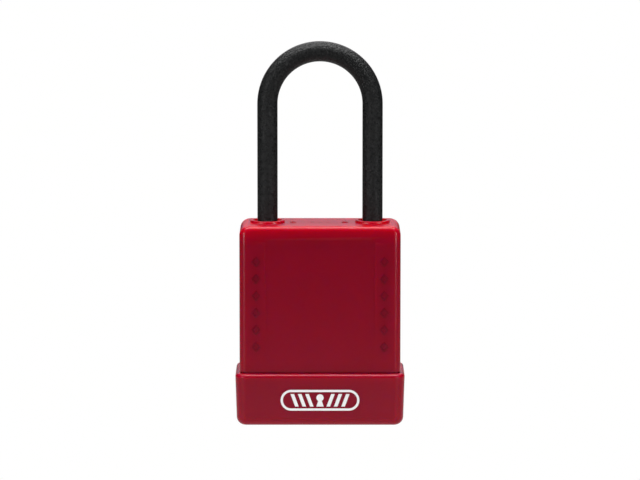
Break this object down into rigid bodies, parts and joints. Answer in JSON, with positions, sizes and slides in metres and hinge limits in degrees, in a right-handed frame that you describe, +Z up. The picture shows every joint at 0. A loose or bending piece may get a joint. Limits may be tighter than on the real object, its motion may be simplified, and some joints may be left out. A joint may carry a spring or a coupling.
{
  "type": "safety padlock",
  "caption": "Safety padlock with a red insulating plastic jacket, a stepped base collar over a keyed cylinder, and a tall black sleeved shackle that lifts when the cylinder turns.",
  "frame": {"origin": "on the surface that the padlock stands on, under the middle of the base collar", "axes": "+X to the right across the front (captive shackle leg at -X, free leg at +X), +Y from the front to the back, +Z up along the shackle legs"},
  "size_m": [0.04, 0.021, 0.0903],
  "materials": {
    "red_plastic": "moulded, satin gloss",
    "black_sleeve": "fine grain, matte",
    "steel": "ground and hardened",
    "brass": "turned and milled",
    "block_metal": "cast and machined"
  },
  "bodies": {
    "case": {"body_jacket": "red_plastic", "base_collar": "red_plastic", "lock_block": "block_metal", "cam_cover_plate": "steel", "chamber_strip": "brass", "shackle_spring": "steel", "shackle_retaining_pin": "steel", "plug_retaining_pin": "steel", "tumbler_spring_1": "steel", "tumbler_spring_2": "steel", "tumbler_spring_3": "steel", "tumbler_spring_4": "steel", "tumbler_spring_5": "steel"},
    "shackle": {"shackle_core": "steel", "shackle_sleeve": "black_sleeve"},
    "plug": {"cylinder_plug": "brass", "lock_cam": "steel"},
    "heel_ball": {"locking_ball_heel": "steel"},
    "toe_ball": {"locking_ball_toe": "steel"},
    "key_pin_1": {"key_pin_1": "brass"},
    "driver_pin_1": {"driver_pin_1": "brass"},
    "key_pin_2": {"key_pin_2": "brass"},
    "driver_pin_2": {"driver_pin_2": "brass"},
    "key_pin_3": {"key_pin_3": "brass"},
    "driver_pin_3": {"driver_pin_3": "brass"},
    "key_pin_4": {"key_pin_4": "brass"},
    "driver_pin_4": {"driver_pin_4": "brass"},
    "key_pin_5": {"key_pin_5": "brass"},
    "driver_pin_5": {"driver_pin_5": "brass"}
  },
  "joints": [
    {"name": "shackle_lift", "type": "slide", "parent": "case", "child": "shackle", "axis": [0, 0, 1], "range_m": [0, 0.0105], "deforming": ["shackle_spring"]},
    {"name": "plug_turn", "type": "hinge", "parent": "case", "child": "plug", "pos_m": [0, 0, 0.0138], "axis": [0, 0, 1], "range_deg": [0, 90]},
    {"name": "heel_ball_slide", "type": "slide", "parent": "case", "child": "heel_ball", "axis": [1, 0, 0], "range_m": [0, 0.00368]},
    {"name": "toe_ball_slide", "type": "slide", "parent": "case", "child": "toe_ball", "axis": [1, 0, 0], "range_m": [-0.00368, 0]},
    {"name": "key_pin_1_slide", "type": "slide", "parent": "plug", "child": "key_pin_1", "axis": [-1, 0, 0], "range_m": [0, 0.0005]},
    {"name": "driver_pin_1_slide", "type": "slide", "parent": "case", "child": "driver_pin_1", "axis": [1, 0, 0], "range_m": [0, 0.0025], "stiffness_N_per_m": 100, "springref_m": -0.003, "deforming": ["tumbler_spring_1"]},
    {"name": "key_pin_2_slide", "type": "slide", "parent": "plug", "child": "key_pin_2", "axis": [-1, 0, 0], "range_m": [0, 0.0005]},
    {"name": "driver_pin_2_slide", "type": "slide", "parent": "case", "child": "driver_pin_2", "axis": [1, 0, 0], "range_m": [0, 0.0025], "stiffness_N_per_m": 100, "springref_m": -0.003, "deforming": ["tumbler_spring_2"]},
    {"name": "key_pin_3_slide", "type": "slide", "parent": "plug", "child": "key_pin_3", "axis": [-1, 0, 0], "range_m": [0, 0.0005]},
    {"name": "driver_pin_3_slide", "type": "slide", "parent": "case", "child": "driver_pin_3", "axis": [1, 0, 0], "range_m": [0, 0.0025], "stiffness_N_per_m": 100, "springref_m": -0.003, "deforming": ["tumbler_spring_3"]},
    {"name": "key_pin_4_slide", "type": "slide", "parent": "plug", "child": "key_pin_4", "axis": [-1, 0, 0], "range_m": [0, 0.0005]},
    {"name": "driver_pin_4_slide", "type": "slide", "parent": "case", "child": "driver_pin_4", "axis": [1, 0, 0], "range_m": [0, 0.0025], "stiffness_N_per_m": 100, "springref_m": -0.003, "deforming": ["tumbler_spring_4"]},
    {"name": "key_pin_5_slide", "type": "slide", "parent": "plug", "child": "key_pin_5", "axis": [-1, 0, 0], "range_m": [0, 0.0005]},
    {"name": "driver_pin_5_slide", "type": "slide", "parent": "case", "child": "driver_pin_5", "axis": [1, 0, 0], "range_m": [0, 0.0025], "stiffness_N_per_m": 100, "springref_m": -0.003, "deforming": ["tumbler_spring_5"]}
  ],
  "couplings": [
    {"joint": "plug_turn", "follows": "shackle_lift", "rad_per_m": 149.6},
    {"joint": "heel_ball_slide", "follows": "shackle_lift", "ratio": 0.35},
    {"joint": "toe_ball_slide", "follows": "shackle_lift", "ratio": -0.35}
  ]
}
